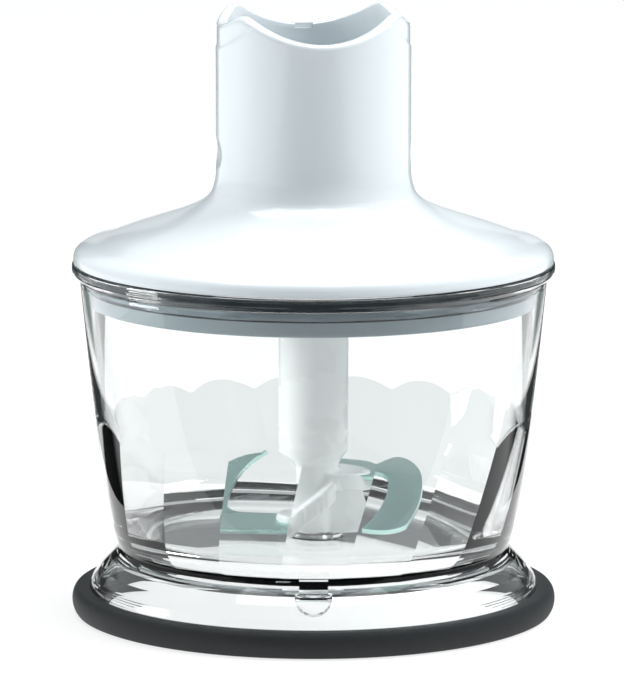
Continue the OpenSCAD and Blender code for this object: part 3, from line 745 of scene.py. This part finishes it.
def blade(name, root_z, bend, half_turn):
    """One blade, ground along its upper edge and bent past the fold; half_turn sets it on the other arm."""
    bm = bmesh.new()
    face = bm.faces.new([bm.verts.new((x * mm, y * mm, 0)) for x, y in blade_plan()])
    for cut_y in [fold_y - 4 + cut_step * i for i in range(28)]:
        bmesh.ops.bisect_plane(bm, geom=bm.verts[:] + bm.edges[:] + bm.faces[:], plane_co=(0, cut_y * mm, 0),
                               plane_no=(0, 1, 0))
    bmesh.ops.recalc_face_normals(bm, faces=bm.faces)
    if bm.faces[:][0].normal.z < 0:
        bmesh.ops.reverse_faces(bm, faces=bm.faces)
    slab = bmesh.ops.extrude_face_region(bm, geom=bm.faces[:])
    raised = [v for v in slab["geom"] if isinstance(v, bmesh.types.BMVert)]
    bmesh.ops.translate(bm, verts=raised, vec=(0, 0, blade_t * mm))
    bmesh.ops.recalc_face_normals(bm, faces=bm.faces)
    rim = [e for e in bm.edges if e.is_manifold and e.calc_face_angle() > 1.2
           and all(abs(v.co.z - blade_t * mm) < 1e-7 for v in e.verts)]
    bmesh.ops.bevel(bm, geom=rim, offset=ground_edge * mm, offset_type="OFFSET", affect="EDGES", segments=2,
                    profile=0.5, material=-1, clamp_overlap=True)
    for v in bm.verts:
        y, z = v.co.y / mm, v.co.z / mm
        past = y - fold_y + bend_lead
        if past > 0:
            angle = bend * min(1.0, past / bend_run)
            slope_start = bend_run / 2 * min(1.0, past / bend_run)
            length = past - slope_start
            v.co.y = (fold_y - bend_lead + slope_start + length * math.cos(angle) - z * math.sin(angle)) * mm
            v.co.z = (length * math.sin(angle) + z * math.cos(angle)) * mm
    bmesh.ops.translate(bm, verts=bm.verts, vec=(0, 0, root_z * mm))
    if half_turn:
        bmesh.ops.rotate(bm, verts=bm.verts, cent=(0, 0, 0), matrix=Matrix.Rotation(math.pi, 3, "Z"))
    piece = finish_piece(bm, name, blade_steel, smooth=35)
    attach(piece, "rotor")
    return piece


blade_steel = surface_material("blade_steel", (0.54, 0.78, 0.73), (0.61, 0.85, 0.8), (0.24, 0.36),
                               tone_size=30, grain_size=1500, bump=0.06, Metallic=1.0)
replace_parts(blade("blade_low", low_z, math.radians(14), False), "lower_blade")
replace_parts(blade("blade_high", high_z, math.radians(-9), True), "upper_blade")

# ---------------------------------------------------------------- inside the lid and the rotor
# The reduction gear, its bearings, seals and screws, as turned, pressed and moulded parts.
# They show through the socket in the neck, and from below when the lid is lifted.
inner_finish = {
    "steel": surface_material("turned_steel", (0.52, 0.53, 0.54), (0.62, 0.63, 0.64), (0.2, 0.32),
                              tone_size=120, grain_size=1600, bump=0.05, Metallic=1.0),
    "cover_grey": surface_material("cover_grey", (0.36, 0.4, 0.43), (0.41, 0.45, 0.48), (0.4, 0.5),
                                   tone_size=40, grain_size=1400, bump=0.15),
    "seal_rubber": surface_material("seal_rubber", (0.02, 0.021, 0.022), (0.035, 0.036, 0.037), (0.5, 0.65),
                                    tone_size=60, grain_size=1800, bump=0.2),
    "gear_nylon": surface_material("gear_nylon", (0.74, 0.72, 0.63), (0.8, 0.78, 0.7), (0.35, 0.5),
                                   tone_size=90, grain_size=1200, bump=0.08),
    "bush_bronze": surface_material("bush_bronze", (0.42, 0.29, 0.14), (0.55, 0.4, 0.21), (0.35, 0.5),
                                    tone_size=150, grain_size=2500, bump=0.3, Metallic=1.0),
    "coupling_grey": surface_material("coupling_grey", (0.12, 0.13, 0.14), (0.16, 0.17, 0.19), (0.35, 0.5),
                                      tone_size=90, grain_size=1300, bump=0.12),
    "bush_polymer": surface_material("bush_polymer", (0.6, 0.62, 0.64), (0.66, 0.68, 0.7), (0.3, 0.42),
                                     tone_size=80, grain_size=1300, bump=0.08),
}
for row in frame["record"]["subparts"]:
    finish = inner_finish.get(row["material_slot"])
    if finish:
        node = frame["nodes"][row["node"]]
        for i in range(len(node.material_slots)):
            node.material_slots[i].material = finish
